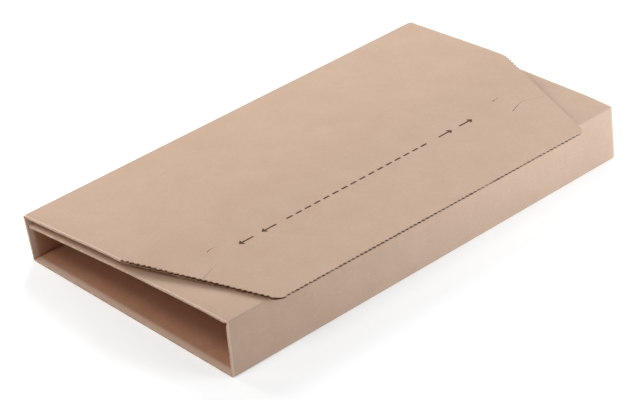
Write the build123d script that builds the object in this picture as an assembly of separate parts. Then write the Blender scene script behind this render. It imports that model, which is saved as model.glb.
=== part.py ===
from build123d import *
import os
from math import atan2, cos, sin, tan

# Book wrap mailer: one sheet of corrugated board, creased and wound into a flat tube that is open
# at both ends. In the order of the sheet it is an inner top panel, the front wall, the bottom, the
# back wall and the outer flap, which comes back over the inner panel and is stuck down along the
# front. The tube stands a little racked, with both walls leaning to the back, and the flap was folded
# over a little askew.
#
# Frame: X along the tube, Y from the front wall to the back wall, Z up. The origin is under the
# middle of the whole mailer, on the surface that it lies on. All sizes are in millimetres.

# Board: two flat papers, the liners, with a fluted paper between them. The flutes run round the tube.
board = 1.8                # thickness of the whole board
liner = 0.3                # thickness of each liner
flute_paper = 0.25         # thickness of the fluted paper
flute_pitch = 3.2          # from one flute to the next

# Folds
fold_radius = 1.2          # outside radius of a pressed fold
crease_depth = 0.9         # of the crease that is pressed into the inside of a fold
crease_reach = 1.5         # from the fold's inside corner to each side of the crease
crease_radius = 0.3        # rounding of the crease
bow_radius = 300.0         # radius of the slow bends across the two top panels

# Tube
length = 310.0             # from one open end to the other
bottom_width = 153.0       # between the outside corners of the bottom folds
front_height = 32.4        # up to the outside corner of the front top fold
front_lean = 5.2           # that corner's offset to the back of the corner under it
back_height = 25.9         # up to the outside corner of the back top fold
back_lean = 7.8            # that corner's offset to the back of the corner under it
end_lip = 2.6              # stretch at each open end where the cut pressed the board thinner
end_crush = 0.3            # by which each face of the board is pressed in there

# Inner top panel
panel_land = 17.3          # flat stretch behind the front fold that the flap is stuck to
land_rise = 0.24           # rise of that stretch towards the fold
panel_middle = 71.3        # from the front top fold back to the slow bend
panel_bow = 0.9            # height of the slow bend over a straight panel
panel_drop = 4.3           # from the corner of the back top fold down to the panel's back edge
panel_gap = 2.2            # level room between the panel's back edge and the back wall's inside

# Outer flap
flap_overhang = 7.1        # reach of the free edge past the front top fold
flap_flat = 83.3           # level stretch from the front top fold back to the flap's slow bend
flap_turn = 0.6            # degrees that it was folded askew, about the middle of the back top fold
shoulder_depth = 86.4      # from the free edge back to where the cut-away corners start
corner_inset = 33.7        # that the free edge is shorter by, at each end
corner_radius = 7.0        # rounded ends of the free edge
tooth_pitch = 3.2          # of the toothed cut along the free edge and the cut-away corners
tooth_depth = 0.6          # of its teeth
flute_sight = 4.0          # depth to which the flutes are open along that cut
overcut = 3.0              # by which a cut is drawn past the edge that it goes through

# Seal strip, between the flap and the inner panel
seal_thickness = 0.3
seal_width = 12.0
seal_setback = 11.5        # from the flap's free edge
seal_end_gap = 10.0        # short of the free edge's corners, at each end

# Tear tape under the flap, and the cuts that free its two finger tabs
tear_setback = 51.2        # from the flap's free edge to the middle of the tape
tape_thickness = 0.2
tape_width = 5.0
slit_width = 0.3
slit_end = 46.0            # from the end of the tube to the inner end of both cuts
slit_bend = 34.5           # from the end of the tube to the bend of the long cut
long_slit_offset = 4.7     # from the middle of the tape to that bend
slit_flare = 4.1           # by which the long cut's ends turn away from the tape
slit_bend_radius = 5.0     # at the bend of the long cut
short_slit_offset = 6.3    # from the middle of the tape to the cut on its other side
short_slit = 8.0           # length of that cut
short_slit_sag = 1.0       # depth of its curve

half = length / 2


def headings_along(points):
    """Directions of the straight runs from point to point."""
    return [(end - start).normalized() for start, end in zip(points, points[1:])]


def offset_left(points, distance):
    """The points of a run moved to its left, so that each stretch stays parallel."""
    lefts = [Vector(-heading.Y, heading.X) for heading in headings_along(points)]
    pairs = zip(points, lefts[:1] + lefts, lefts + lefts[-1:])
    return [point + (a + b) * (distance / (1 + a.dot(b))) for point, a, b in pairs]


def inner_face(points, radii, depth):
    """Line of the board's inner face: a rounded crease inside a fold, a parallel arc at a slow bend."""
    corners = offset_left(points, depth)
    headings = headings_along(points)
    path = [corners[0]]
    path_radii = []
    for place, radius in enumerate(radii, start=1):
        corner = corners[place]
        if radius > board:
            path.append(corner)
            path_radii.append(radius - depth)
        else:
            outwards = (points[place] - corner).normalized()
            path.append(corner - headings[place - 1] * crease_reach)
            path.append(corner + outwards * crease_depth)
            path.append(corner + headings[place] * crease_reach)
            path_radii += [crease_radius] * 3
    path.append(corners[-1])
    return FilletPolyline(*path, radius=path_radii)


def board_section(points, radii, crush):
    """Section of a strip of board, with its outer face on the points and itself to their left."""
    outer = FilletPolyline(*offset_left(points, crush), radius=[radius - crush for radius in radii])
    inner = inner_face(points, radii, board - crush)
    ends = [Line(outer @ 0, inner @ 0), Line(outer @ 1, inner @ 1)]
    return make_face([*outer.edges(), *inner.edges(), *ends])


def board_strip(points, radii):
    """A strip of board along the tube, with a thinner pressed lip at both ends."""
    full = Plane.YZ * board_section(points, radii, 0)
    pressed = Plane.YZ * board_section(points, radii, end_crush)
    strip = extrude(full, amount=half - end_lip, both=True)
    for side in (-1, 1):
        lip_start = Pos(side * (half - end_lip), 0, 0) * full
        strip += loft([lip_start, Pos(side * half, 0, 0) * pressed], ruled=True)
    return strip


# Corners of the section, on the sheet's outer face. A point of the section has the mailer's Y as
# its X, and the mailer's Z as its Y.
front_bottom = Vector(-bottom_width / 2, 0)
back_bottom = Vector(bottom_width / 2, 0)
front_top = front_bottom + Vector(front_lean, front_height)
back_top = back_bottom + Vector(back_lean, back_height)

# Inner panel: from its back edge inside the back wall to the flat land at the front fold
land_back = front_top + Vector(panel_land, -land_rise)
panel_lean = back_lean * panel_drop / back_height
panel_back = back_top - Vector(panel_lean + board + panel_gap, panel_drop)
bend_share = (panel_middle - panel_land) / (panel_back.X - land_back.X)
panel_bend = land_back + (panel_back - land_back) * bend_share + Vector(0, panel_bow)

# Flap: parallel to the land, with the seal strip between, as far as its slow bend, and from there
# straight down to the back top fold
land_angle = atan2(land_rise, panel_land)
land_up = Vector(sin(land_angle), cos(land_angle))
land_back_way = Vector(cos(land_angle), -sin(land_angle))
flap_front = front_top + land_up * (seal_thickness + board)
flap_edge = flap_front - land_back_way * flap_overhang
flap_bend = flap_front + land_back_way * flap_flat
flap_start = (back_top + flap_bend) / 2
flap_axis = Axis((0, back_top.X, back_top.Y), (0, land_up.X, land_up.Y))

# Plan of the flap: full length at the back, cut away to the shorter free edge in front
free_y = flap_edge.X
corner_x = half - corner_inset
corner_slope = shoulder_depth / corner_inset


def with_flap(shape):
    """A shape that is drawn square to the tube, turned askew as the flap is."""
    return shape.rotate(flap_axis, -flap_turn)


def toothed(start, end):
    """Points of a toothed cut, with its teeth on the straight line and their notches to its left."""
    teeth = max(1, round((end - start).length / tooth_pitch))
    step = (end - start) / (2 * teeth)
    notch = Vector(-step.Y, step.X).normalized() * tooth_depth
    return [start + step * place + notch * (place % 2) for place in range(2 * teeth + 1)]


def flap_plan():
    """Plan of the flap, square to the tube: toothed in front, with rounded corners, past both ends."""
    slant = Vector(corner_inset, shoulder_depth).normalized()
    arc_reach = corner_radius * tan(atan2(slant.Y, slant.X) / 2)
    free_end = Vector(corner_x - arc_reach, free_y)
    slant_start = Vector(corner_x, free_y) + slant * arc_reach
    slant_end = Vector(half + overcut, free_y + shoulder_depth + overcut * corner_slope)
    back_end = Vector(half + overcut, back_top.X)
    right = [free_end, slant_start, slant_end, back_end]
    left_free_end, left_slant_start, left_slant_end, left_back_end = [Vector(-p.X, p.Y) for p in right]
    sides = toothed(slant_start, slant_end) + [back_end, left_back_end]
    sides += toothed(left_slant_end, left_slant_start)
    lines = [
        Polyline(*toothed(left_free_end, free_end)),
        TangentArc(free_end, slant_start, tangent=(1, 0)),
        Polyline(*sides),
        TangentArc(left_slant_start, left_free_end, tangent=(slant.X, -slant.Y)),
    ]
    return make_face([edge for line in lines for edge in line.edges()])


def flute_ends():
    """Open ends of the flutes along the toothed cut, in turn under the upper and over the lower liner."""
    flute_height = board - 2 * liner
    opening = flute_height - flute_paper
    half_width = flute_pitch * opening / flute_height / 2
    upper_mouth = Polyline((-half_width, 0), (half_width, 0), (0, -opening), close=True)
    lower_mouth = Polyline((-half_width, 0), (half_width, 0), (0, opening), close=True)
    mouths = [Pos(0, -liner) * make_face(upper_mouth), Pos(0, liner - board) * make_face(lower_mouth)]
    last = int((half - 2 * flute_pitch) / (flute_pitch / 2))
    ends = []
    for place in range(-last, last + 1):
        x = place * flute_pitch / 2
        setback = max(0, abs(x) - corner_x) * corner_slope + flute_sight
        inner_end = flap_edge + land_back_way * setback
        to_front = (0, -land_back_way.X, -land_back_way.Y)
        across = Plane((x, inner_end.X, inner_end.Y), x_dir=(1, 0, 0), z_dir=to_front)
        reach = flute_sight + corner_slope * half_width + overcut
        ends.append(extrude(across * mouths[place % 2], amount=reach))
    return ends


def tear_slits():
    """Plan of the cuts that free the finger tabs at both ends of the tear tape, square to the tube."""
    tear_y = free_y + tear_setback
    long_y = tear_y - long_slit_offset
    short_y = tear_y + short_slit_offset
    flare_slope = slit_flare / (slit_end - slit_bend)
    inner_end = (half - slit_end, long_y - slit_flare)
    bend = (half - slit_bend, long_y)
    outer_end = (half, long_y - slit_bend * flare_slope)
    long_cut = FilletPolyline(inner_end, bend, outer_end, radius=slit_bend_radius)
    short_end = (half - slit_end + short_slit, short_y)
    short_cut = SagittaArc((half - slit_end, short_y), short_end, short_slit_sag)
    slits = [make_face(cut.offset_2d(slit_width / 2).edges()) for cut in (long_cut, short_cut)]
    return slits + [mirror(slit, about=Plane.YZ) for slit in slits]


def under_flap(setback, width, thickness, reach):
    """A flat strip stuck to the underside of the flap, along its free edge."""
    near = flap_edge - land_up * board + land_back_way * (setback - width / 2)
    corners = [near, near + land_back_way * width]
    corners += [corner - land_up * thickness for corner in reversed(corners)]
    section = make_face(Polyline(*corners, close=True))
    return with_flap(extrude(Plane.YZ * section, amount=reach, both=True))


tube = board_strip(
    [panel_back, panel_bend, land_back, front_top, front_bottom, back_bottom, back_top, flap_start],
    [bow_radius, bow_radius / 2, fold_radius, fold_radius, fold_radius, fold_radius],
)

# The flap is drawn past its free edge, cut to its plan from the ground to well over the tube, opened
# at the ends of its flutes, and slit
cut_height = front_height + back_height
flap_space = with_flap(extrude(flap_plan(), amount=cut_height))
past_free_edge = flap_edge - land_back_way * corner_radius
flap = board_strip([flap_start, flap_bend, past_free_edge], [bow_radius]) & flap_space
flap -= [with_flap(flute_end) for flute_end in flute_ends()]
flap -= [with_flap(extrude(slit, amount=cut_height)) for slit in tear_slits()]
mailer_wrap = tube + flap

seal_strip = under_flap(seal_setback + seal_width / 2, seal_width, seal_thickness, corner_x - seal_end_gap)
tear_tape = under_flap(tear_setback, tape_width, tape_thickness, half) & flap_space

# The origin goes under the middle of the mailer
to_origin = Pos(0, -mailer_wrap.bounding_box().center().Y, 0)

os.makedirs("parts", exist_ok=True)
nodes = {"mailer_wrap": mailer_wrap, "seal_strip": seal_strip, "tear_tape": tear_tape}
for name, shape in nodes.items():
    export_step(to_origin * shape, f"parts/{name}.step")
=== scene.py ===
from collections import namedtuple
from math import atan2, ceil, copysign, cos, pi, radians, sin, tan
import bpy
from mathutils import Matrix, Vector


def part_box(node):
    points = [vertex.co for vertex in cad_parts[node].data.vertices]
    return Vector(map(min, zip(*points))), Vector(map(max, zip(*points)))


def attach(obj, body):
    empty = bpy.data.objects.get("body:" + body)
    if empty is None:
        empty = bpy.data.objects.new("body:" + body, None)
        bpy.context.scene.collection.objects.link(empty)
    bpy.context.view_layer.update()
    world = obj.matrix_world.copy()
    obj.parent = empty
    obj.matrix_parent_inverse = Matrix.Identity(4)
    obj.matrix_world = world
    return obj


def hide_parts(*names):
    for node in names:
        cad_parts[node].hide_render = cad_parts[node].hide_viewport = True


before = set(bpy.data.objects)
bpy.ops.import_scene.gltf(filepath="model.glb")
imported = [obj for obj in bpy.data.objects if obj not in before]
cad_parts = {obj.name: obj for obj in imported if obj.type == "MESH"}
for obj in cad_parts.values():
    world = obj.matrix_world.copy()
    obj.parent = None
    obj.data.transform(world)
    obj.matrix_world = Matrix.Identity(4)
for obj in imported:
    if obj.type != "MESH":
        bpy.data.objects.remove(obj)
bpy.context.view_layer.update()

from types import SimpleNamespace

import bmesh
import bpy
from bmesh.types import BMEdge, BMFace, BMVert
from bpy.props import FloatProperty, FloatVectorProperty, IntProperty, PointerProperty
from bpy.types import NodeSocket, Operator, Panel, PropertyGroup
from mathutils import Matrix, Quaternion, Vector, noise

bl_info = {
    "name": "Book Wrap Mailer",
    "version": (1, 0, 0),
    "blender": (4, 5, 0),
    "location": "View3D > Sidebar > Mailer",
    "description": "Dresses a folded corrugated book wrap and sets up its studio stage",
    "category": "Object",
}

WRAP_LOW, WRAP_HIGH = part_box("mailer_wrap")
HALF_LENGTH = WRAP_HIGH.x

# Directions along the tube, and from its front wall to its back wall
ALONG, TO_BACK = Vector((1, 0, 0)), Vector((0, 1, 0))

# Material slots of the board; the flute slot holds dark fluted paper with painted shade, and is also put on
# hollows, cuts and fold ends as painted shade
LINER, INSIDE, RAW_EDGE, TOOTHED_EDGE, SHADED_FLUTE = range(5)

# The board's mark of how near each point is to a fold
FOLD_WEAR = "fold_wear"

# Points this near to each other, in metres, are one, or lie on the same face
NEAR = 1e-5

# A face looks along an axis if its normal has more than this share of it
LOOKS_ALONG = 0.5

# Faces that meet at more than this angle have a sharp edge between them
SHARP_ANGLE = radians(35)

# Sockets of a Mix node for colours
MIX_SHARE, MIX_FIRST, MIX_SECOND, MIX_RESULT = 0, 6, 7, 2

# Layers of fibres in the liner paper: start and end are where in the pattern's range they come up
Fibres = namedtuple("Fibres", "stretch turn scale start end strength")
LONG_FIBRES = Fibres(stretch=(1, 6, 6), turn=radians(8), scale=240.0, start=0.5, end=0.85, strength=0.45)
CROSS_FIBRES = Fibres(stretch=(6, 1, 6), turn=radians(15), scale=200.0, start=0.5, end=0.8, strength=0.8)
FLECKS = Fibres(stretch=(2, 9, 9), turn=radians(-25), scale=330.0, start=0.62, end=0.72, strength=0.35)

# Clouds and grain of the liner paper, in spots per metre
CLOUD_SCALE = 55.0
GRAIN_SCALE = 1100.0

# Where most values of a noise pattern lie
PATTERN_RANGE = (0.3, 0.7)

# Finishes of the thin stuffs: how their streaks are stretched and scaled, and how they shine
Finish = namedtuple("Finish", "stretch scale rough specular")
FLUTED_PAPER = Finish(stretch=(4, 1, 4), scale=400.0, rough=(0.85, 0.97), specular=0.1)
BROWN_INK = Finish(stretch=(1, 1, 1), scale=900.0, rough=(0.7, 0.85), specular=0.1)
SEAL_GLUE = Finish(stretch=(1, 4, 4), scale=300.0, rough=(0.3, 0.5), specular=0.5)
TEAR_FILM = Finish(stretch=(1, 12, 12), scale=200.0, rough=(0.12, 0.25), specular=0.5)

WHITE = (1, 1, 1)
LAMPS = ("key", "end", "low", "back", "fill")


def length(name, description, default):
    """A size in metres that a user may change."""
    return FloatProperty(name=name, description=description, default=default, precision=5, unit="LENGTH")


def number(name, description, default):
    """A plain number that a user may change."""
    return FloatProperty(name=name, description=description, default=default)


def power(name, description, default):
    """A lamp's power in watts that a user may change."""
    return FloatProperty(name=name, description=description, default=default, unit="POWER")


def colour(name, description, default):
    """A linear colour that a user may change."""
    return FloatVectorProperty(name=name, description=description, default=default, subtype="COLOR",
                               min=0.0, max=1.0)


def angle(name, description, degrees):
    """An angle that a user may change, given in degrees."""
    return FloatProperty(name=name, description=description, default=radians(degrees), unit="ROTATION")


def location(name, description, default):
    """A place in metres that a user may change."""
    return FloatVectorProperty(name=name, description=description, default=default, subtype="XYZ_LENGTH")


class MailerBoard(PropertyGroup):
    """The corrugated sheet and its folds."""
    board: length("Board", "Thickness of the corrugated board", 0.0018)
    liner: length("Liner", "Thickness of each flat paper of the board", 0.0003)
    flute_paper: length("Flute paper", "Thickness of the fluted paper between the liners", 0.00025)
    flute_pitch: length("Flute pitch", "From one flute to the next, along the tube", 0.0032)
    flute_faces: IntProperty(name="Flute faces", description="Faces along one flute", default=8, min=4)
    pressed_liner: length("Pressed liner", "Height of a liner's edge where the cut pressed it", 0.00055)
    press_change: length("Press change", "How much that height changes along the edge", 0.00022)
    press_spread: length("Press spread", "Length over which it changes", 0.006)
    flute_sight: length("Flute sight", "How far the flutes can be seen into from a cut edge", 0.004)
    flute_setback: length("Flute setback", "From the liners' edges back to the fluted paper's", 0.0003)
    tooth_pitch: length("Tooth pitch", "From one tooth of the flap's cut edge to the next", 0.0032)
    tooth_depth: length("Tooth depth", "Depth of the teeth of the flap's cut edge", 0.0008)
    fold_radius: length("Fold radius", "Outside radius of a pressed fold", 0.0012)
    fold_segments: IntProperty(name="Fold segments", description="Faces round a fold", default=12, min=2)
    crease_depth: length("Crease depth", "Depth of the crease inside a fold", 0.0009)
    crease_reach: length("Crease reach", "From a fold's inside corner to each side of its crease", 0.0015)
    bow_radius: length("Bow radius", "Radius of the slow bends across the top panels", 0.3)
    bottom_width: length("Bottom width", "Between the outside corners of the bottom folds", 0.153)
    front_height: length("Front height", "Up to the corner of the front top fold", 0.0324)
    front_lean: length("Front lean", "That corner's offset to the back", 0.0052)
    back_height: length("Back height", "Up to the corner of the back top fold", 0.0259)
    back_lean: length("Back lean", "That corner's offset to the back", 0.0078)
    end_lip: length("End lip", "Stretch at each open end that the cut pressed thinner", 0.0026)
    end_crush: length("End crush", "By which each face is pressed in there", 0.0003)
    pale_lip: length("Pale lip", "Stretch at each open end where the outer paper is pale", 0.0013)
    # The inner paper's pale lip is partly pressed paper and partly painted light falling into the open ends
    inner_pale_lit_lip: length("Inner pale lip", "The same of the inner paper", 0.0046)
    panel_land: length("Panel land", "Flat stretch of the inner panel behind the front fold", 0.0173)
    land_rise: length("Land rise", "Rise of that stretch towards the fold", 0.00024)
    panel_middle: length("Panel middle", "From the front top fold to the panel's slow bend", 0.0713)
    panel_bow: length("Panel bow", "Height of that bend over a straight panel", 0.0009)
    panel_drop: length("Panel drop", "From the back top fold down to the panel's back edge", 0.0043)
    panel_gap: length("Panel gap", "Room between that edge and the back wall", 0.0022)
    seal: length("Seal", "Thickness of the seal strip under the flap", 0.0003)
    flap_overhang: length("Flap overhang", "Reach of the flap past the front top fold", 0.0071)
    flap_flat: length("Flap flat", "Level stretch from the front fold to the flap's bend", 0.0833)
    flap_turn: angle("Flap turn", "How far askew the flap was folded, about the back top fold", 0.6)
    shoulder_depth: length("Shoulder depth", "From the free edge to where its corners are cut away", 0.0864)
    corner_inset: length("Corner inset", "By which the free edge is shorter at each end", 0.0337)
    corner_radius: length("Corner radius", "Rounded ends of the free edge", 0.007)
    overcut: length("Overcut", "By which a cut is drawn past the edge that it goes through", 0.003)
    warp: length("Warp", "Depth of the slow unevenness of the panels", 0.0002)
    warp_size: length("Warp size", "Size of that unevenness", 0.07)
    grid: length("Grid", "Spacing of the mesh across the panels", 0.005)


class MailerTear(PropertyGroup):
    """The tear line across the flap: its cuts and its print."""
    setback: length("Setback", "From the flap's free edge to the tear line", 0.0512)
    slit_width: length("Slit width", "Width of the cuts where they are open widest", 0.00042)
    slit_tight: length("Slit tight", "Width of the cuts where they are closed", 0.00002)
    long_slit_closing: number("Long slit closing", "How soon the long cut closes, as a power", 5.0)
    short_slit_closing: number("Short slit closing", "How soon the short cut closes, as a power", 1.0)
    slit_end: length("Slit end", "From the end of the tube to the inner end of the cuts", 0.046)
    slit_bend: length("Slit bend", "From the end of the tube to the bend of the long cut", 0.0345)
    long_slit_offset: length("Long slit offset", "From the tear line to that bend", 0.0047)
    slit_flare: length("Slit flare", "By which the long cut's ends turn from the tear line", 0.0041)
    slit_bend_radius: length("Slit bend radius", "At the bend of the long cut", 0.005)
    short_slit_offset: length("Short slit offset", "From the tear line to the short cut behind it", 0.0063)
    short_slit: length("Short slit", "Length of that cut", 0.008)
    short_slit_sag: length("Short slit sag", "Depth of its curve", 0.001)
    ink: length("Ink", "Thickness of the printed ink", 0.00004)
    ink_offset: length("Ink offset", "From the tear line to the print, by the inner near arrow", 0.0006)
    ink_turn: angle("Ink turn", "How far askew the print runs to the tear line", 0.3)
    near_arrow: length("Near arrow", "From the tube's middle to the tip of the inner near arrow", 0.0827)
    far_arrow: length("Far arrow", "From the tube's middle to the tip of the inner far arrow", 0.0685)
    arrow_step: length("Arrow step", "From one arrow to the next", 0.0172)
    arrow_length: length("Arrow length", "Length of an arrow", 0.0110)
    arrow_stroke: length("Arrow stroke", "Width of an arrow's strokes", 0.0010)
    arrow_barb: length("Arrow barb", "Length of the strokes of an arrow's head", 0.0033)
    barb_slant: angle("Barb slant", "Angle from an arrow's shaft to its head's strokes", 38.0)
    dash_from: length("Dashes from", "Where the printed dashes start, along the tube", -0.0652)
    dash_to: length("Dashes to", "Where the printed dashes end", 0.0485)
    dash_length: length("Dash length", "Length of a printed dash", 0.0046)
    dash_gap: length("Dash gap", "Between two dashes", 0.0024)
    dash_width: length("Dash width", "Width of a dash", 0.0011)


class MailerColours(PropertyGroup):
    """Colours of the papers, the strips, the ink and the floor."""
    liner: colour("Liner", "Brown paper of the board's outer face", (0.610, 0.438, 0.331))
    liner_dark: colour("Liner dark", "Darker clouds and fibres of that paper", (0.568, 0.397, 0.294))
    liner_pale: colour("Liner pale", "Its paler fibres, and where it was pressed", (0.74, 0.56, 0.445))
    inside: colour("Inside", "Brown paper of the board's inner face", (0.57, 0.325, 0.21))
    inside_dark: colour("Inside dark", "Darker clouds and fibres of that paper", (0.52, 0.285, 0.18))
    inside_pale: colour("Inside pale", "Its paler fibres, and where a fold rubbed it", (0.70, 0.50, 0.38))
    raw_edge: colour("Raw edge", "Cut edge of the board", (0.76, 0.59, 0.48))
    raw_edge_dark: colour("Raw edge dark", "Darker layers of a cut edge", (0.56, 0.40, 0.305))
    toothed: colour("Toothed edge", "Torn fibres of an edge cut by a toothed rule", (0.78, 0.60, 0.48))
    toothed_dark: colour("Toothed edge dark", "Its crushed layers", (0.34, 0.185, 0.11))
    flute: colour("Flute", "Fluted paper inside the board", (0.37, 0.205, 0.125))
    # The flute's darkest colour is painted shade in the depth of the flutes
    flute_shade: colour("Flute dark", "Depth of the flutes", (0.13, 0.058, 0.03))
    ink: colour("Ink", "Printed arrows and dashes", (0.07, 0.028, 0.012))
    ink_thin: colour("Thin ink", "Ink that the paper soaked up", (0.15, 0.072, 0.036))
    glue: colour("Glue", "Seal strip", (0.72, 0.62, 0.42))
    glue_pale: colour("Glue pale", "Stretched streaks of the seal strip", (0.80, 0.73, 0.56))
    film: colour("Film", "Tear tape", (0.62, 0.49, 0.36))
    film_pale: colour("Film pale", "Drawn streaks of the tear tape", (0.72, 0.61, 0.48))
    floor: colour("Floor", "Paint of the floor", (0.9, 0.855, 0.82))
    floor_glow: colour("Floor glow tint", "What makes the floor's shade look grey", (0.83, 0.94, 1.0))


class MailerStage(PropertyGroup):
    """The camera, the studio light and the floor."""
    lens: FloatProperty(name="Lens", description="Focal length", default=168.1, unit="CAMERA")
    azimuth: angle("Azimuth", "Camera's turn round the mailer", -47.33)
    elevation: angle("Elevation", "Camera's height over the horizon", 32.29)
    roll: angle("Roll", "Camera's turn about its own axis", 1.68)
    distance: length("Distance", "From the camera to the point that it looks at", 1.673)
    aim: location("Aim", "Point that the camera looks at", (0.00046, 0.00857, 0.0))
    dome: number("Dome", "Strength of the light from all round", 0.16)
    dome_tint: colour("Dome tint", "Colour of that light", (1.0, 0.90, 0.84))
    key: power("Key", "Power of the light over the near end", 3.5)
    key_tint: colour("Key tint", "Colour of that light", (1.0, 0.91, 0.84))
    key_size: length("Key size", "Width of that light", 0.45)
    key_place: location("Key place", "Where that light stands", (-0.8, 0.1, 1.25))
    end: power("End", "Power of the low light at the near end", 1.35)
    end_tint: colour("End tint", "Colour of that light", (1.0, 0.93, 0.87))
    end_size: length("End size", "Width of that light", 0.5)
    end_place: location("End place", "Where that light stands", (-0.9, 0.2, 0.45))
    low: power("Low", "Power of the low light at the back", 7.0)
    low_tint: colour("Low tint", "Colour of that light", (0.95, 0.96, 0.97))
    low_size: length("Low size", "Width of that light", 0.6)
    low_place: location("Low place", "Where that light stands", (-0.22, 1.05, 0.35))
    back: power("Back", "Power of the light behind the far end", 12.1)
    back_tint: colour("Back tint", "Colour of that light", (0.95, 0.99, 1.0))
    back_size: length("Back size", "Width of that light", 0.6)
    back_place: location("Back place", "Where that light stands", (0.8, 0.8, 0.8))
    fill: power("Fill", "Power of the light in front of the far end", 2.0)
    fill_tint: colour("Fill tint", "Colour of that light", (0.83, 0.93, 1.0))
    fill_size: length("Fill size", "Width of that light", 0.35)
    fill_place: location("Fill place", "Where that light stands", (0.23, -0.45, 0.15))
    floor_glow: number("Floor glow", "How much paler the camera sees the floor by the mailer", 0.48)
    shadow_reach: length("Shadow reach", "From the mailer to where the floor starts to turn white", 0.4)
    floor_size: length("Floor size", "Width of the floor", 12.0)


def way(start, end):
    """Direction from one point to the next."""
    return (end - start).normalized()


def outward(along):
    """Outer side of a stretch of board that runs this way round the section."""
    return Vector((0, along.z, -along.y))


def board_fold(sizes, start, corner, end):
    """A pressed fold of the board between two stretches, rounded outside and creased inside."""
    before, after = way(start, corner), way(corner, end)
    out_before, out_after = outward(before), outward(after)
    turn = before.angle(after)
    to_inside = -(out_before + out_after) / (1 + out_before.dot(out_after))
    inside = corner + to_inside * sizes.board
    return SimpleNamespace(
        corner=corner, before=before, after=after, out_before=out_before, out_after=out_after, turn=turn,
        tangent=sizes.fold_radius * tan(turn / 2),
        reach=sizes.board * tan(turn / 2) + sizes.crease_reach,
        centre=corner + to_inside * sizes.fold_radius,
        crease_start=inside - before * sizes.crease_reach,
        crease_tip=inside - to_inside.normalized() * sizes.crease_depth,
        crease_end=inside + after * sizes.crease_reach,
    )


def mailer_section(sizes):
    """Corners of the sheet's outer face in the middle of the tube, by name."""
    land_angle = atan2(sizes.land_rise, sizes.panel_land)
    land_up = Vector((0, sin(land_angle), cos(land_angle)))
    land_back_way = Vector((0, cos(land_angle), -sin(land_angle)))
    front_bottom = Vector((0, 0, 0))
    front_top = Vector((0, sizes.front_lean, sizes.front_height))
    back_bottom = Vector((0, sizes.bottom_width, 0))
    back_top = back_bottom + Vector((0, sizes.back_lean, sizes.back_height))
    land_back = front_top + Vector((0, sizes.panel_land, -sizes.land_rise))
    panel_lean = sizes.back_lean * sizes.panel_drop / sizes.back_height
    panel_back = back_top - Vector((0, panel_lean + sizes.board + sizes.panel_gap, sizes.panel_drop))
    bend_share = (sizes.panel_middle - sizes.panel_land) / (panel_back.y - land_back.y)
    panel_bend = land_back.lerp(panel_back, bend_share) + Vector((0, 0, sizes.panel_bow))
    flap_front = front_top + land_up * (sizes.seal + sizes.board)
    flap_edge = flap_front - land_back_way * sizes.flap_overhang
    flap_bend = flap_front + land_back_way * sizes.flap_flat
    corners = {
        "panel_back": panel_back, "panel_bend": panel_bend, "land_back": land_back, "front_top": front_top,
        "front_bottom": front_bottom, "back_bottom": back_bottom, "back_top": back_top,
        "flap_start": (back_top + flap_bend) / 2, "flap_bend": flap_bend, "flap_edge": flap_edge,
    }
    back_fold = board_fold(sizes, back_bottom, back_top, flap_bend)
    to_frame = Vector((0, WRAP_HIGH.y - back_fold.centre.y - sizes.fold_radius, 0))
    return SimpleNamespace(**{name: corner + to_frame for name, corner in corners.items()})


def mailer_folds(sizes, corners):
    """The four pressed folds, in the order of the sheet."""
    ring = [corners.land_back, corners.front_top, corners.front_bottom, corners.back_bottom,
            corners.back_top, corners.flap_start]
    return [board_fold(sizes, *stretch) for stretch in zip(ring, ring[1:], ring[2:])]


def flap_height(sizes, corners, y):
    """Height of the flap's upper face: a level stretch, a slow bend and the fall to the back fold."""
    edge, bend, back = corners.flap_edge, corners.flap_bend, corners.back_top
    level = (bend.z - edge.z) / (bend.y - edge.y)
    fall = (back.z - bend.z) / (back.y - bend.y)
    bend_reach = sizes.bow_radius * (level - fall) / 2
    height = bend.z + (y - bend.y) * (level if y < bend.y else fall)
    into_bend = max(0.0, bend_reach - abs(y - bend.y))
    return height - into_bend ** 2 * (level - fall) / (4 * bend_reach)


def panel_dip(sizes, point):
    """How much lower than true the slowly uneven board lies at a point, by its height over the bottom."""
    uneven = (1 - noise.noise(Vector((point.x, point.y, 0)) / sizes.warp_size)) / 2
    return sizes.warp * uneven * point.z / WRAP_HIGH.z


def settle(bm, sizes):
    """Lowers the board, or what lies on it, to where its uneven panels are, inside the solid's box."""
    for vert in bm.verts:
        vert.co.z -= panel_dip(sizes, vert.co)
        vert.co.y = min(vert.co.y, WRAP_HIGH.y)


def flap_turned(sizes, corners):
    """From a plan square to the tube to the flap's own, turned about the middle of the back top fold."""
    to_fold = Matrix.Translation((0, corners.back_top.y, 0))
    return to_fold @ Matrix.Rotation(-sizes.flap_turn, 4, "Z") @ to_fold.inverted()


def edge_inward(sizes, corners, point):
    """Level direction from a point of the flap's cut edge into the flap."""
    turned = flap_turned(sizes, corners)
    square = turned.inverted() @ Vector((point.x, point.y, 0))
    side = 1 if square.x > 0 else -1
    slant = atan2(sizes.corner_inset, sizes.shoulder_depth)
    arc_reach = sizes.corner_radius * tan((pi / 2 - slant) / 2)
    across = abs(square.x) - (HALF_LENGTH - sizes.corner_inset - arc_reach)
    back = square.y - corners.flap_edge.y - sizes.corner_radius
    if across < 0:
        inward = TO_BACK
    elif across * sin(slant) + back * cos(slant) > 0:
        inward = Vector((-side * cos(slant), sin(slant), 0))
    else:
        inward = Vector((-side * across, -back, 0)).normalized()
    return turned.to_3x3() @ inward


def is_free_edge(sizes, corners, point):
    """Whether a point of the flap's cut edge is on its free edge rather than on a cut-away corner."""
    inward = edge_inward(sizes, corners, point)
    return inward.y > abs(inward.x)


def of_kind(made, kind, group="geom"):
    """The vertices, edges or faces among what an operator made."""
    return [item for item in made[group] if isinstance(item, kind)]


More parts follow.
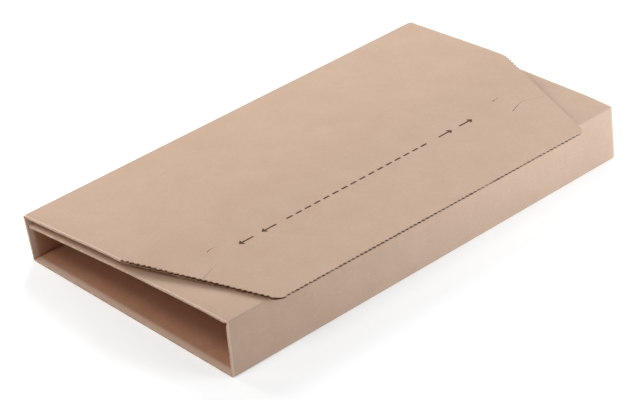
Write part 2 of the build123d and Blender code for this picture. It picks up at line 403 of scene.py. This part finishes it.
def face_out(bm):
    """Turns all faces outwards on a closed shape, or the same way on an open one."""
    bmesh.ops.recalc_face_normals(bm, faces=bm.faces)


def wire(bm, points):
    """A chain of edges through the points."""
    verts = [bm.verts.new(point) for point in points]
    for start, end in zip(verts, verts[1:]):
        bm.edges.new((start, end))
    return verts


def round_corner(bm, vert, radius, segments):
    """Rounds the corner where two edges of a chain or a flat outline meet."""
    ways = [edge.other_vert(vert).co - vert.co for edge in vert.link_edges]
    turn = pi - ways[0].angle(ways[1])
    bmesh.ops.bevel(bm, geom=[vert], offset=radius * tan(turn / 2), offset_type="OFFSET",
                    segments=segments, profile=0.5, affect="VERTICES", material=-1, clamp_overlap=False)


def cut_plane(bm, place, outside, trim=False):
    """Divides all faces by a plane, and trims away what lies outside it if asked to."""
    bmesh.ops.bisect_plane(bm, geom=bm.verts[:] + bm.edges[:] + bm.faces[:], dist=NEAR / 10,
                           plane_co=place, plane_no=outside, clear_outer=trim)


def cut_across(bm, places, axis):
    """Divides all faces by planes across an axis."""
    for place in places:
        cut_plane(bm, axis * place, axis)


def even_places(low, high, spacing):
    """Places between two ends, about the spacing apart."""
    count = round((high - low) / spacing)
    return [low + (high - low) * step / count for step in range(1, count)]


def cut_teeth(bm, edge, middle, sizes):
    """Gives one straight edge of a flat outline the teeth of its cutting rule, cut into the face."""
    start, end = (vert.co.copy() for vert in edge.verts)
    along = end - start
    inward = Vector((-along.y, along.x, 0)).normalized()
    if inward.dot(middle - start) < 0:
        inward.negate()
    teeth = max(1, round(along.length / sizes.tooth_pitch))
    made = bmesh.ops.subdivide_edges(bm, edges=[edge], cuts=2 * teeth - 1)
    step = along.length / (2 * teeth)
    notches = [vert for vert in of_kind(made, BMVert, "geom_inner")
               if round((vert.co - start).length / step) % 2]
    bmesh.ops.translate(bm, verts=notches, vec=inward * sizes.tooth_depth)


def flap_outline(bm, sizes, corners):
    """The flap from above, as one flat face with rounded corners and a toothed cut, turned askew."""
    free_y = corners.flap_edge.y
    shoulder_y = free_y + sizes.shoulder_depth
    past_end = HALF_LENGTH + sizes.overcut
    past_shoulder = shoulder_y + sizes.overcut * sizes.shoulder_depth / sizes.corner_inset
    right = [(past_end, corners.back_top.y), (past_end, past_shoulder),
             (HALF_LENGTH - sizes.corner_inset, free_y)]
    left = [(-x, y) for x, y in reversed(right)]
    verts = [bm.verts.new((x, y, 0)) for x, y in right + left]
    middle = bm.faces.new(verts).calc_center_median()
    arc_segments = ceil(sizes.corner_radius / sizes.tooth_depth)
    for vert in verts[2:4]:
        round_corner(bm, vert, sizes.corner_radius, arc_segments)
    for edge in bm.edges[:]:
        in_front = min(vert.co.y for vert in edge.verts) < shoulder_y
        if in_front and edge.calc_length() > sizes.corner_radius:
            cut_teeth(bm, edge, middle, sizes)
    bmesh.ops.transform(bm, matrix=flap_turned(sizes, corners), verts=bm.verts)
    cut_plane(bm, ALONG * HALF_LENGTH, ALONG, trim=True)
    cut_plane(bm, -ALONG * HALF_LENGTH, -ALONG, trim=True)
    cut_plane(bm, corners.flap_start, TO_BACK, trim=True)


def tube_sheet(bm, sizes, corners, folds):
    """The rest of the sheet's outer face, from the inner panel round to the flap."""
    path = [(corners.panel_back, 0), (corners.panel_bend, sizes.bow_radius),
            (corners.land_back, sizes.bow_radius / 2)]
    for fold in folds:
        path.append((fold.corner - fold.before * fold.reach, 0))
        path.append((fold.corner, sizes.fold_radius))
        path.append((fold.corner + fold.after * fold.reach, 0))
    path.append((corners.flap_start, 0))
    chain = wire(bm, [point for point, radius in path])
    for vert, (point, radius) in zip(chain, path):
        if radius:
            round_corner(bm, vert, radius, sizes.fold_segments)
    for edge in [edge for edge in bm.edges if edge.is_wire]:
        cuts = int(edge.calc_length() / sizes.grid)
        if cuts:
            bmesh.ops.subdivide_edges(bm, edges=[edge], cuts=cuts)
    edges = [edge for edge in bm.edges if edge.is_wire]
    verts = list({vert for edge in edges for vert in edge.verts})
    bmesh.ops.translate(bm, verts=verts, vec=-ALONG * HALF_LENGTH)
    made = bmesh.ops.extrude_edge_only(bm, edges=edges)
    bmesh.ops.translate(bm, verts=of_kind(made, BMVert), vec=ALONG * 2 * HALF_LENGTH)


def outer_sheet(sizes, corners, folds):
    """The whole sheet's outer face, folded, with its faces pointing out."""
    bm = bmesh.new()
    flap_outline(bm, sizes, corners)
    cut_across(bm, even_places(WRAP_LOW.y, corners.flap_start.y, sizes.grid), TO_BACK)
    for vert in bm.verts:
        vert.co.z = flap_height(sizes, corners, vert.co.y)
    tube_sheet(bm, sizes, corners, folds)
    lip_start = HALF_LENGTH - sizes.end_lip
    lip_middle = HALF_LENGTH - sizes.end_lip / 2
    cut_across(bm, even_places(-lip_start, lip_start, sizes.grid), ALONG)
    cut_across(bm, [-lip_middle, -lip_start, lip_start, lip_middle], ALONG)
    bmesh.ops.remove_doubles(bm, verts=bm.verts, dist=NEAR)
    face_out(bm)
    lowest = min(bm.faces, key=lambda face: face.calc_center_median().z)
    if lowest.normal.z > 0:
        bmesh.ops.reverse_faces(bm, faces=bm.faces)
    return bm


def crease_share(fold, point, fold_radius):
    """A point's place across a fold, from -1 at the start of its crease to 1 at the end, or None."""
    offset = Vector((0, point.y - fold.corner.y, point.z - fold.corner.z))
    if offset.length > fold.reach + NEAR:
        return None
    # The rounded part takes the middle half, and the flat stretches beside it a quarter each
    flat_stretch = fold.reach - fold.tangent
    before, after = -offset.dot(fold.before), offset.dot(fold.after)
    if abs(offset.dot(fold.out_before)) < NEAR and before > fold.tangent - NEAR:
        return -0.5 - (before - fold.tangent) / flat_stretch / 2
    if abs(offset.dot(fold.out_after)) < NEAR and after > fold.tangent - NEAR:
        return 0.5 + (after - fold.tangent) / flat_stretch / 2
    from_centre = Vector((0, point.y - fold.centre.y, point.z - fold.centre.z))
    if abs(from_centre.length - fold_radius) > 10 * NEAR:
        return None
    return fold.out_before.angle(from_centre) / fold.turn - 0.5


def inner_place(sizes, folds, vert):
    """Where the board's inner face lies behind a point of its outer face."""
    for fold in folds:
        share = crease_share(fold, vert.co, sizes.fold_radius)
        if share is not None:
            flank = fold.crease_start if share < 0 else fold.crease_end
            place = fold.crease_tip.lerp(flank, abs(share))
            return Vector((vert.co.x, place.y, place.z))
    if abs(vert.normal.z) > LOOKS_ALONG:
        return vert.co - Vector((0, 0, sizes.board / vert.normal.z))
    return vert.co - vert.normal * sizes.board


def thicken(bm, sizes, folds):
    """Gives the sheet its board thickness inwards, and returns the faces of its cut edges."""
    bm.normal_update()
    inner = {vert: inner_place(sizes, folds, vert) for vert in bm.verts}
    bmesh.ops.extrude_face_region(bm, geom=bm.faces[:])
    for vert, place in inner.items():
        vert.co = place
    face_out(bm)
    for face in bm.faces:
        inner_corners = sum(vert in inner for vert in face.verts)
        if inner_corners == len(face.verts):
            face.material_index = INSIDE
        elif inner_corners:
            face.material_index = RAW_EDGE
    return [face for face in bm.faces if face.material_index == RAW_EDGE]


def paint_fold_end_shade(rim, folds):
    """Paints the cut ends dark where they go through a fold under the flap: painted shade for the gap between
    the papers there.
    """
    for fold in (folds[0], folds[-1]):
        for face in rim:
            if (face.calc_center_median() - fold.corner).yz.length < fold.reach / 2:
                face.material_index = SHADED_FLUTE


def crush_ends(bm, sizes):
    """Presses the board thinner towards the two open ends of the tube."""
    bm.normal_update()
    moves = {}
    for vert in bm.verts:
        into_pale_lit_lip = abs(vert.co.x) - HALF_LENGTH + sizes.end_lip
        sides = [face.normal for face in vert.link_faces if abs(face.normal.x) < LOOKS_ALONG]
        if into_pale_lit_lip > 0 and sides:
            out = sum(sides, Vector((0, 0, 0)))
            out = Vector((0, out.y, out.z)).normalized()
            moves[vert] = out * -sizes.end_crush * into_pale_lit_lip / sizes.end_lip
    for vert, move in moves.items():
        vert.co += move


def open_flutes(bm, rim, sizes, corners):
    """Hollows the flap's toothed edge out between its two liners, lower where they were pressed."""
    mouth = []
    for face in rim:
        centre = face.calc_center_median()
        if abs(centre.x) < HALF_LENGTH - NEAR and centre.y < corners.flap_start.y:
            mouth.append(face)
            pressed = is_free_edge(sizes, corners, centre)
            face.material_index = LINER if pressed else TOOTHED_EDGE
    bmesh.ops.inset_region(bm, faces=mouth, thickness=sizes.liner, use_boundary=True, use_even_offset=True)
    for vert in {vert for face in mouth for vert in face.verts}:
        over_middle = vert.co.z - flap_height(sizes, corners, vert.co.y) + sizes.board / 2
        if over_middle > 0 or is_free_edge(sizes, corners, vert.co):
            change = sizes.press_change * noise.noise(vert.co / sizes.press_spread)
            vert.co.z -= copysign(sizes.pressed_liner - sizes.liner + change, over_middle)
    made = bmesh.ops.extrude_face_region(bm, geom=mouth)
    for vert in of_kind(made, BMVert):
        vert.co += edge_inward(sizes, corners, vert.co) * sizes.flute_sight
    hollow = {face for bottom in of_kind(made, BMFace) for edge in bottom.edges for face in edge.link_faces}
    # The hollow's walls take the dark flute material: painted shade inside the open flutes
    for face in hollow:
        face.material_index = SHADED_FLUTE
    bmesh.ops.delete(bm, geom=mouth, context="FACES")
    face_out(bm)


def fluted_edge(sizes, corners):
    """The fluted paper behind the flap's toothed cut, as far in as it can be seen."""
    bm = bmesh.new()
    flap_outline(bm, sizes, corners)
    bmesh.ops.delete(bm, geom=bm.faces[:], context="FACES_ONLY")
    plain = [edge for edge in bm.edges
             if min(vert.co.y for vert in edge.verts) > corners.flap_start.y - NEAR
             or min(abs(vert.co.x) for vert in edge.verts) > HALF_LENGTH - NEAR]
    bmesh.ops.delete(bm, geom=plain, context="EDGES")
    step = sizes.flute_pitch / sizes.flute_faces
    for edge in bm.edges[:]:
        bmesh.ops.subdivide_edges(bm, edges=[edge], cuts=int(edge.calc_length() / step))
    for vert in bm.verts:
        vert.co += edge_inward(sizes, corners, vert.co) * sizes.flute_setback
    depth = sizes.flute_sight - sizes.flute_setback
    rows = ceil(depth / step)
    edges = bm.edges[:]
    for row in range(rows):
        made = bmesh.ops.extrude_edge_only(bm, edges=edges)
        verts = set(of_kind(made, BMVert))
        edges = [edge for edge in of_kind(made, BMEdge)
                 if len(edge.link_faces) == 1 and verts.issuperset(edge.verts)]
        for vert in verts:
            vert.co += edge_inward(sizes, corners, vert.co) * depth / rows
    square = flap_turned(sizes, corners).inverted()
    swing = (sizes.board - 2 * sizes.liner - sizes.flute_paper) / 2
    for vert in bm.verts:
        wave = swing * sin(2 * pi * (square @ vert.co).x / sizes.flute_pitch)
        middle = flap_height(sizes, corners, vert.co.y) - (sizes.board - sizes.flute_paper) / 2
        vert.co.z = middle + wave
    face_out(bm)
    if sum(face.normal.z for face in bm.faces) < 0:
        bmesh.ops.reverse_faces(bm, faces=bm.faces)
    bmesh.ops.solidify(bm, geom=bm.faces[:], thickness=sizes.flute_paper)
    face_out(bm)
    return bm


def slit_cutter(points, corner_radius, closing, tear, low, high, segments):
    """An upright thin wall along a cut in the flap, which opens towards the near end of the tube."""
    near, far = sorted((points[0], points[-1]), key=lambda point: point.x)
    along = way(near, far)
    aside = Vector((-along.y, along.x, 0))
    bm = bmesh.new()
    chain = wire(bm, [Vector((point.x, point.y, low)) for point in points])
    round_corner(bm, chain[1], corner_radius, segments)
    made = bmesh.ops.extrude_edge_only(bm, edges=bm.edges[:])
    bmesh.ops.translate(bm, verts=of_kind(made, BMVert), vec=(0, 0, high - low))
    face_out(bm)
    made = bmesh.ops.extrude_face_region(bm, geom=bm.faces[:])
    for vert in of_kind(made, BMVert):
        opened = max(0.0, (far.x - vert.co.x) / (far.x - near.x)) ** closing
        vert.co += aside * (tear.slit_tight + (tear.slit_width - tear.slit_tight) * opened)
    face_out(bm)
    # The cut's walls take the dark flute material: painted shade in the cut
    for face in bm.faces:
        face.material_index = SHADED_FLUTE
    return finish_mesh("slit_cutter", bm)


def tear_cutters(sizes, tear, corners):
    """The cutters for the two cuts beside the tear line at both ends of the tube."""
    tear_y = corners.flap_edge.y + tear.setback
    long_y = tear_y - tear.long_slit_offset
    short_y = tear_y + tear.short_slit_offset
    end_x = HALF_LENGTH - tear.slit_end
    bend_x = HALF_LENGTH - tear.slit_bend
    outer_y = long_y - tear.slit_flare * tear.slit_bend / (tear.slit_end - tear.slit_bend)
    long_cut = [(end_x, long_y - tear.slit_flare), (bend_x, long_y), (HALF_LENGTH, outer_y)]
    # The corner of the short cut stands twice as far out as the curve that rounds it
    short_cut = [(end_x, short_y), (end_x + tear.short_slit / 2, short_y + 2 * tear.short_slit_sag),
                 (end_x + tear.short_slit, short_y)]
    turned = flap_turned(sizes, corners)
    high = WRAP_HIGH.z + sizes.overcut
    low = flap_height(sizes, corners, long_y) - sizes.board - sizes.seal
    cutters = []
    for side in (1, -1):
        for cut, radius, closing in ((long_cut, tear.slit_bend_radius, tear.long_slit_closing),
                                     (short_cut, tear.short_slit, tear.short_slit_closing)):
            points = [turned @ Vector((side * x, y, 0)) for x, y in cut]
            cutters.append(slit_cutter(points, radius, closing, tear, low, high, sizes.fold_segments))
    return cutters


def arrow(bm, tear, tip_x, side):
    """A flat arrow with its tip at a place along the tube, pointing to the tube's end on that side."""
    stroke, slant = tear.arrow_stroke, tear.barb_slant
    barb_x, barb_y = tear.arrow_barb * cos(slant), tear.arrow_barb * sin(slant)
    notch = (stroke / 2 + stroke * cos(slant)) / sin(slant)
    half_outline = [
        (0, 0), (barb_x, barb_y), (barb_x + stroke * sin(slant), barb_y - stroke * cos(slant)),
        (stroke * sin(slant) + notch * cos(slant), stroke / 2), (tear.arrow_length, stroke / 2),
        (tear.arrow_length, 0),
    ]
    verts = [bm.verts.new((x, y, 0)) for x, y in half_outline]
    face = bm.faces.new(verts)
    made = bmesh.ops.mirror(bm, geom=[face, *face.edges, *face.verts], merge_dist=NEAR, axis="Y")
    verts = list({*verts, *of_kind(made, BMVert)})
    bmesh.ops.rotate(bm, verts=verts, matrix=Matrix.Rotation(pi * (side > 0), 3, "Z"))
    bmesh.ops.translate(bm, verts=verts, vec=(tip_x, 0, 0))


def tear_print(sizes, tear, corners):
    """Arrows to both ends of the tear line and a row of plain dashes between them, lying on the flap."""
    bm = bmesh.new()
    for step in (0, tear.arrow_step):
        arrow(bm, tear, -tear.near_arrow - step, -1)
        arrow(bm, tear, tear.far_arrow + step, 1)
    count = round((tear.dash_to - tear.dash_from) / (tear.dash_length + tear.dash_gap))
    unit_to_dash = Matrix.Diagonal((tear.dash_length, tear.dash_width, 1, 1))
    for place in range(count):
        middle = tear.dash_from + (tear.dash_to - tear.dash_from) * (place + 0.5) / count
        to_place = Matrix.Translation((middle, 0, 0)) @ unit_to_dash
        bmesh.ops.create_grid(bm, x_segments=2, y_segments=1, size=0.5, matrix=to_place)
    askew = Matrix.Rotation(tear.ink_turn, 3, "Z")
    bmesh.ops.rotate(bm, verts=bm.verts, cent=(-tear.near_arrow, 0, 0), matrix=askew)
    print_y = corners.flap_edge.y + tear.setback + tear.ink_offset
    bmesh.ops.translate(bm, verts=bm.verts, vec=(0, print_y, 0))
    bmesh.ops.transform(bm, matrix=flap_turned(sizes, corners), verts=bm.verts)
    for vert in bm.verts:
        vert.co.z = flap_height(sizes, corners, vert.co.y)
    made = bmesh.ops.extrude_face_region(bm, geom=bm.faces[:])
    bmesh.ops.translate(bm, verts=of_kind(made, BMVert), vec=(0, 0, tear.ink))
    face_out(bm)
    return bm


def finish_mesh(name, bm):
    """An object at the origin with the mesh, smooth but for its sharp edges."""
    mesh = bpy.data.meshes.new(name)
    bm.to_mesh(mesh)
    bm.free()
    mesh.shade_smooth()
    mesh.set_sharp_from_angle(angle=SHARP_ANGLE)
    piece = bpy.data.objects.new(name, mesh)
    bpy.context.scene.collection.objects.link(piece)
    return piece


def cut_away(piece, cutters):
    """Cuts the cutters out of the piece for good."""
    for cutter in cutters:
        cut = piece.modifiers.new(cutter.name, "BOOLEAN")
        cut.operation = "DIFFERENCE"
        cut.solver = "EXACT"
        cut.object = cutter
    bpy.context.view_layer.update()
    seen = piece.evaluated_get(bpy.context.evaluated_depsgraph_get())
    mesh = bpy.data.meshes.new_from_object(seen)
    mesh.set_sharp_from_angle(angle=SHARP_ANGLE)
    piece.modifiers.clear()
    piece.data = mesh
    # A removed mesh takes its object with it
    for cutter in cutters:
        bpy.data.meshes.remove(cutter.data)


def mark_folds(piece, folds):
    """Marks how near each point of the board is to a fold, for the wear of its paper."""
    mark = piece.data.attributes.new(FOLD_WEAR, "FLOAT", "POINT")
    for vert, value in zip(piece.data.vertices, mark.data):
        away = min((vert.co - fold.corner).yz.length / fold.reach for fold in folds)
        value.value = max(0.0, 1 - away)


def bare_nodes(owner):
    """A material or world with its node tree emptied."""
    owner.use_nodes = True
    owner.node_tree.nodes.clear()
    return owner


def add_node(owner, kind, inputs=None, **settings):
    """A node with these settings, its sockets set to values or joined to other nodes' outputs."""
    node = owner.node_tree.nodes.new(kind)
    for name, value in settings.items():
        setattr(node, name, value)
    for name, value in (inputs or {}).items():
        set_input(owner, node, name, value)
    return node


def set_input(owner, node, name, value):
    """Sets a node's socket to a value, or joins it to another node's output."""
    if isinstance(value, NodeSocket):
        owner.node_tree.links.new(value, node.inputs[name])
    else:
        node.inputs[name].default_value = value


def blend_colours(owner, share, first, second):
    """A colour between two, at the share given by a socket."""
    mix = add_node(owner, "ShaderNodeMix", {MIX_SHARE: share}, data_type="RGBA")
    for socket, value in ((MIX_FIRST, first), (MIX_SECOND, second)):
        set_input(owner, mix, socket, value if isinstance(value, NodeSocket) else (*value, 1))
    return mix.outputs[MIX_RESULT]


def ramp(owner, value, start, end, low=0.0, high=1.0):
    """A value brought from one range to another and held there."""
    return add_node(owner, "ShaderNodeMapRange", {
        "Value": value, "From Min": start, "From Max": end, "To Min": low, "To Max": high}).outputs["Result"]


def sees_background(owner):
    """1 for rays that show the background: to the camera, off something glossy or through something clear."""
    rays = add_node(owner, "ShaderNodeLightPath").outputs
    seen = rays["Is Camera Ray"]
    for name in ("Is Glossy Ray", "Is Transmission Ray"):
        either = add_node(owner, "ShaderNodeMath", {0: seen, 1: rays[name]}, operation="MAXIMUM")
        seen = either.outputs["Value"]
    return seen


def new_material(name):
    """A node material with one shader, and that shader."""
    material = bare_nodes(bpy.data.materials.new(name))
    shader = add_node(material, "ShaderNodeBsdfPrincipled")
    add_node(material, "ShaderNodeOutputMaterial", {"Surface": shader.outputs["BSDF"]})
    return material, shader


def object_place(material):
    """Places on the piece, in metres."""
    return add_node(material, "ShaderNodeTexCoord").outputs["Object"]


def clouds(material, place, scale, detail=4.0):
    """Soft uneven spots."""
    return add_node(material, "ShaderNodeTexNoise", {
        "Vector": place, "Scale": scale, "Detail": detail, "Roughness": 0.6}).outputs["Fac"]


def fibres(material, place, stretch, scale, turn=0.0):
    """Streaks of fibres across the paper, stretched one way and turned."""
    turned = add_node(material, "ShaderNodeMapping", {
        "Vector": place, "Rotation": (0, 0, turn), "Scale": stretch})
    return clouds(material, turned.outputs["Vector"], scale, detail=3.0)


def relief(material, height, strength, distance):
    """A fine relief for a shader."""
    return add_node(material, "ShaderNodeBump", {
        "Height": height, "Strength": strength, "Distance": distance}).outputs["Normal"]


def finish_shader(material, shader, base, rough, bumps, specular):
    """Gives a shader its colour, roughness, relief and shine."""
    finish = {"Base Color": base, "Roughness": rough, "Normal": bumps, "Specular IOR Level": specular}
    for name, value in finish.items():
        set_input(material, shader, name, value)


def liner_paper(name, lip, pressed, plain, dark, pale):
    """Brown liner paper: faint clouds and crossing fibres, paler where it was pressed or rubbed; on the inner
    paper the pale open ends are partly painted light.
    """
    material, shader = new_material(name)
    place = object_place(material)
    spots = ramp(material, clouds(material, place, CLOUD_SCALE), *PATTERN_RANGE)
    base = blend_colours(material, spots, dark, plain)
    streaks = {layer: fibres(material, place, layer.stretch, layer.scale, layer.turn)
               for layer in (LONG_FIBRES, CROSS_FIBRES, FLECKS)}
    for (layer, streak), shade in zip(streaks.items(), (pale, dark, pale)):
        shown = ramp(material, streak, layer.start, layer.end, high=layer.strength)
        base = blend_colours(material, shown, base, shade)
    # Paler towards the open ends: pressed paper, and on the inner paper also painted light falling into the
    # tube
    along = add_node(material, "ShaderNodeSeparateXYZ", {"Vector": place}).outputs["X"]
    from_middle = add_node(material, "ShaderNodeMath", {0: along}, operation="ABSOLUTE").outputs["Value"]
    into_pale_lit_lip = ramp(material, from_middle, HALF_LENGTH - lip, HALF_LENGTH - lip / 2)
    base = blend_colours(material, into_pale_lit_lip, base, pressed)
    wear = add_node(material, "ShaderNodeAttribute", attribute_name=FOLD_WEAR).outputs["Fac"]
    base = blend_colours(material, ramp(material, wear, start=0.3, end=1.0, high=0.12), base, pale)
    rough = ramp(material, streaks[LONG_FIBRES], *PATTERN_RANGE, low=0.78, high=0.92)
    grain = relief(material, clouds(material, place, GRAIN_SCALE), strength=0.18, distance=0.0002)
    finish_shader(material, shader, base, rough, grain, specular=0.25)
    return material


def cut_edge(name, dark, pale):
    """Cut edge of the board: torn fibres in thin layers."""
    material, shader = new_material(name)
    layers = fibres(material, object_place(material), stretch=(1, 1, 2), scale=500.0)
    base = blend_colours(material, ramp(material, layers, start=0.4, end=0.6), dark, pale)
    rough = ramp(material, layers, *PATTERN_RANGE, low=0.85, high=0.97)
    torn = relief(material, layers, strength=0.5, distance=0.0002)
    finish_shader(material, shader, base, rough, torn, specular=0.15)
    return material


def streaked(name, first, second, finish):
    """A thin stuff with streaks one way: the fluted paper, the ink, the glue and the film."""
    material, shader = new_material(name)
    place = object_place(material)
    streaks = fibres(material, place, finish.stretch, finish.scale)
    base = blend_colours(material, ramp(material, streaks, start=0.35, end=0.65), first, second)
    rough = ramp(material, streaks, *PATTERN_RANGE, *finish.rough)
    grain = relief(material, clouds(material, place, 4 * finish.scale), strength=0.3, distance=0.0001)
    finish_shader(material, shader, base, rough, grain, finish.specular)
    return material


def studio_floor(colours, setup):
    """Floor that is white to the camera but keeps the mailer's soft shadow."""
    material = bare_nodes(bpy.data.materials.new("studio_floor"))
    paint = add_node(material, "ShaderNodeBsdfDiffuse", {"Color": (*colours.floor, 1)})
    away = add_node(material, "ShaderNodeVectorMath", {0: object_place(material)}, operation="LENGTH")
    far = ramp(material, away.outputs["Value"], setup.shadow_reach, 2 * setup.shadow_reach)
    seen = add_node(material, "ShaderNodeMath", {
        0: sees_background(material), 1: ramp(material, far, 0.0, 1.0, low=setup.floor_glow)},
        operation="MULTIPLY")
    tint = blend_colours(material, far, colours.floor_glow, WHITE)
    glow = add_node(material, "ShaderNodeEmission", {"Color": tint, "Strength": seen.outputs["Value"]})
    both = add_node(material, "ShaderNodeAddShader", {
        0: paint.outputs["BSDF"], 1: glow.outputs["Emission"]})
    add_node(material, "ShaderNodeOutputMaterial", {"Surface": both.outputs["Shader"]})
    return material


class MAILER_OT_board(Operator):
    """Builds the folded board with its open toothed edge and its tear cuts"""
    bl_idname = "mailer.board"
    bl_label = "Folded Board"

    def execute(self, context):
        sizes, colours = context.scene.mailer_board, context.scene.mailer_colours
        corners = mailer_section(sizes)
        folds = mailer_folds(sizes, corners)
        bm = outer_sheet(sizes, corners, folds)
        rim = thicken(bm, sizes, folds)
        # Painted shade on the cut ends at the folds under the flap
        paint_fold_end_shade(rim, folds)
        crush_ends(bm, sizes)
        open_flutes(bm, rim, sizes, corners)
        settle(bm, sizes)
        piece = finish_mesh("folded_board", bm)
        # In the order of the material slots
        papers = (
            liner_paper("outer_liner", sizes.pale_lip, colours.liner_pale,
                        colours.liner, colours.liner_dark, colours.liner_pale),
            # The inner paper's pale open ends are partly painted light falling into the tube
            liner_paper("inner_liner", sizes.inner_pale_lit_lip, colours.raw_edge,
                        colours.inside, colours.inside_dark, colours.inside_pale),
            cut_edge("raw_edge", colours.raw_edge_dark, colours.raw_edge),
            cut_edge("toothed_edge", colours.toothed_dark, colours.toothed),
            # Fluted paper mixed with painted shade of the flutes' depth
            streaked("flute_depth", colours.flute_shade, colours.flute, FLUTED_PAPER),
        )
        for paper in papers:
            piece.data.materials.append(paper)
        cut_away(piece, tear_cutters(sizes, context.scene.mailer_tear, corners))
        mark_folds(piece, folds)
        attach(piece, "root")
        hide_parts("mailer_wrap")
        return {"FINISHED"}


class MAILER_OT_flutes(Operator):
    """Builds the fluted paper that shows in the board's toothed edge"""
    bl_idname = "mailer.flutes"
    bl_label = "Fluted Paper"

    def execute(self, context):
        sizes, colours = context.scene.mailer_board, context.scene.mailer_colours
        bm = fluted_edge(sizes, mailer_section(sizes))
        settle(bm, sizes)
        piece = finish_mesh("fluted_paper", bm)
        # The fluted paper's darkest streaks are painted shade of the flutes' depth
        piece.data.materials.append(
            streaked("fluted_paper", colours.flute_shade, colours.flute, FLUTED_PAPER))
        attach(piece, "root")
        return {"FINISHED"}


class MAILER_OT_print(Operator):
    """Prints the arrows and dashes along the tear line"""
    bl_idname = "mailer.print"
    bl_label = "Tear Line Print"

    def execute(self, context):
        sizes, colours = context.scene.mailer_board, context.scene.mailer_colours
        bm = tear_print(sizes, context.scene.mailer_tear, mailer_section(sizes))
        settle(bm, sizes)
        piece = finish_mesh("tear_print", bm)
        piece.data.materials.append(streaked("brown_ink", colours.ink, colours.ink_thin, BROWN_INK))
        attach(piece, "root")
        return {"FINISHED"}


class MAILER_OT_strips(Operator):
    """Gives the seal strip and the tear tape their finishes"""
    bl_idname = "mailer.strips"
    bl_label = "Seal and Tear Strips"

    def execute(self, context):
        colours = context.scene.mailer_colours
        glue = streaked("seal_glue", colours.glue, colours.glue_pale, SEAL_GLUE)
        film = streaked("tear_film", colours.film, colours.film_pale, TEAR_FILM)
        for name, material in (("seal_strip", glue), ("tear_tape", film)):
            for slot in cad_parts[name].material_slots:
                slot.material = material
        return {"FINISHED"}


class MAILER_OT_stage(Operator):
    """Sets up the pale floor, the soft light and the camera"""
    bl_idname = "mailer.stage"
    bl_label = "Studio Stage"

    def execute(self, context):
        setup, colours = context.scene.mailer_stage, context.scene.mailer_colours
        bm = bmesh.new()
        bmesh.ops.create_grid(bm, x_segments=1, y_segments=1, size=setup.floor_size / 2)
        floor = finish_mesh("floor", bm)
        floor.data.materials.append(studio_floor(colours, setup))
        self.dome(context, setup)
        for name in LAMPS:
            self.lamp(context, setup, name)
        self.camera(context, setup)
        context.scene.view_settings.view_transform = "Standard"
        return {"FINISHED"}

    def dome(self, context, setup):
        """Even light from all round, white to the camera."""
        world = bare_nodes(bpy.data.worlds.new("studio"))
        context.scene.world = world
        seen = sees_background(world)
        strength = ramp(world, seen, 0.0, 1.0, low=setup.dome)
        tint = blend_colours(world, seen, setup.dome_tint, WHITE)
        dome = add_node(world, "ShaderNodeBackground", {"Color": tint, "Strength": strength})
        add_node(world, "ShaderNodeOutputWorld", {"Surface": dome.outputs["Background"]})

    def lamp(self, context, setup, name):
        """A soft square lamp that faces the mailer."""
        lamp = bpy.data.lights.new(name, "AREA")
        lamp.energy = getattr(setup, name)
        lamp.color = getattr(setup, name + "_tint")
        lamp.size = getattr(setup, name + "_size")
        stand = bpy.data.objects.new(name, lamp)
        stand.location = getattr(setup, name + "_place")
        stand.rotation_euler = (-stand.location).to_track_quat("-Z", "Y").to_euler()
        context.scene.collection.objects.link(stand)

    def camera(self, context, setup):
        """The photograph's view."""
        lens = bpy.data.cameras.new("photo_camera")
        lens.lens = setup.lens
        camera = bpy.data.objects.new("photo_camera", lens)
        level = cos(setup.elevation)
        back = Vector((sin(setup.azimuth) * level, -cos(setup.azimuth) * level, sin(setup.elevation)))
        camera.location = Vector(setup.aim) + back * setup.distance
        turn = (-back).to_track_quat("-Z", "Y") @ Quaternion((0, 0, 1), setup.roll)
        camera.rotation_euler = turn.to_euler()
        context.scene.collection.objects.link(camera)
        context.scene.camera = camera


class MAILER_PT_panel(Panel):
    """Lists the mailer's pieces and stage, with the values that they are made from"""
    bl_idname = "MAILER_PT_panel"
    bl_label = "Book Wrap Mailer"
    bl_space_type = "VIEW_3D"
    bl_region_type = "UI"
    bl_category = "Mailer"

    def draw(self, context):
        for operator in OPERATORS:
            self.layout.operator(operator.bl_idname)
        for name, group in GROUPS.items():
            box = self.layout.box()
            box.label(text=group.__doc__)
            for value in group.__annotations__:
                box.prop(getattr(context.scene, name), value)


GROUPS = {"mailer_board": MailerBoard, "mailer_tear": MailerTear, "mailer_colours": MailerColours,
          "mailer_stage": MailerStage}
OPERATORS = (MAILER_OT_board, MAILER_OT_flutes, MAILER_OT_print, MAILER_OT_strips, MAILER_OT_stage)


def register():
    for cls in (*GROUPS.values(), *OPERATORS, MAILER_PT_panel):
        bpy.utils.register_class(cls)
    for name, group in GROUPS.items():
        setattr(bpy.types.Scene, name, PointerProperty(type=group))


def unregister():
    for name in GROUPS:
        delattr(bpy.types.Scene, name)
    for cls in (MAILER_PT_panel, *reversed(OPERATORS), *GROUPS.values()):
        bpy.utils.unregister_class(cls)


def main():
    register()
    bpy.ops.mailer.board()
    bpy.ops.mailer.flutes()
    bpy.ops.mailer.print()
    bpy.ops.mailer.strips()
    bpy.ops.mailer.stage()


if __name__ == "__main__":
    main()
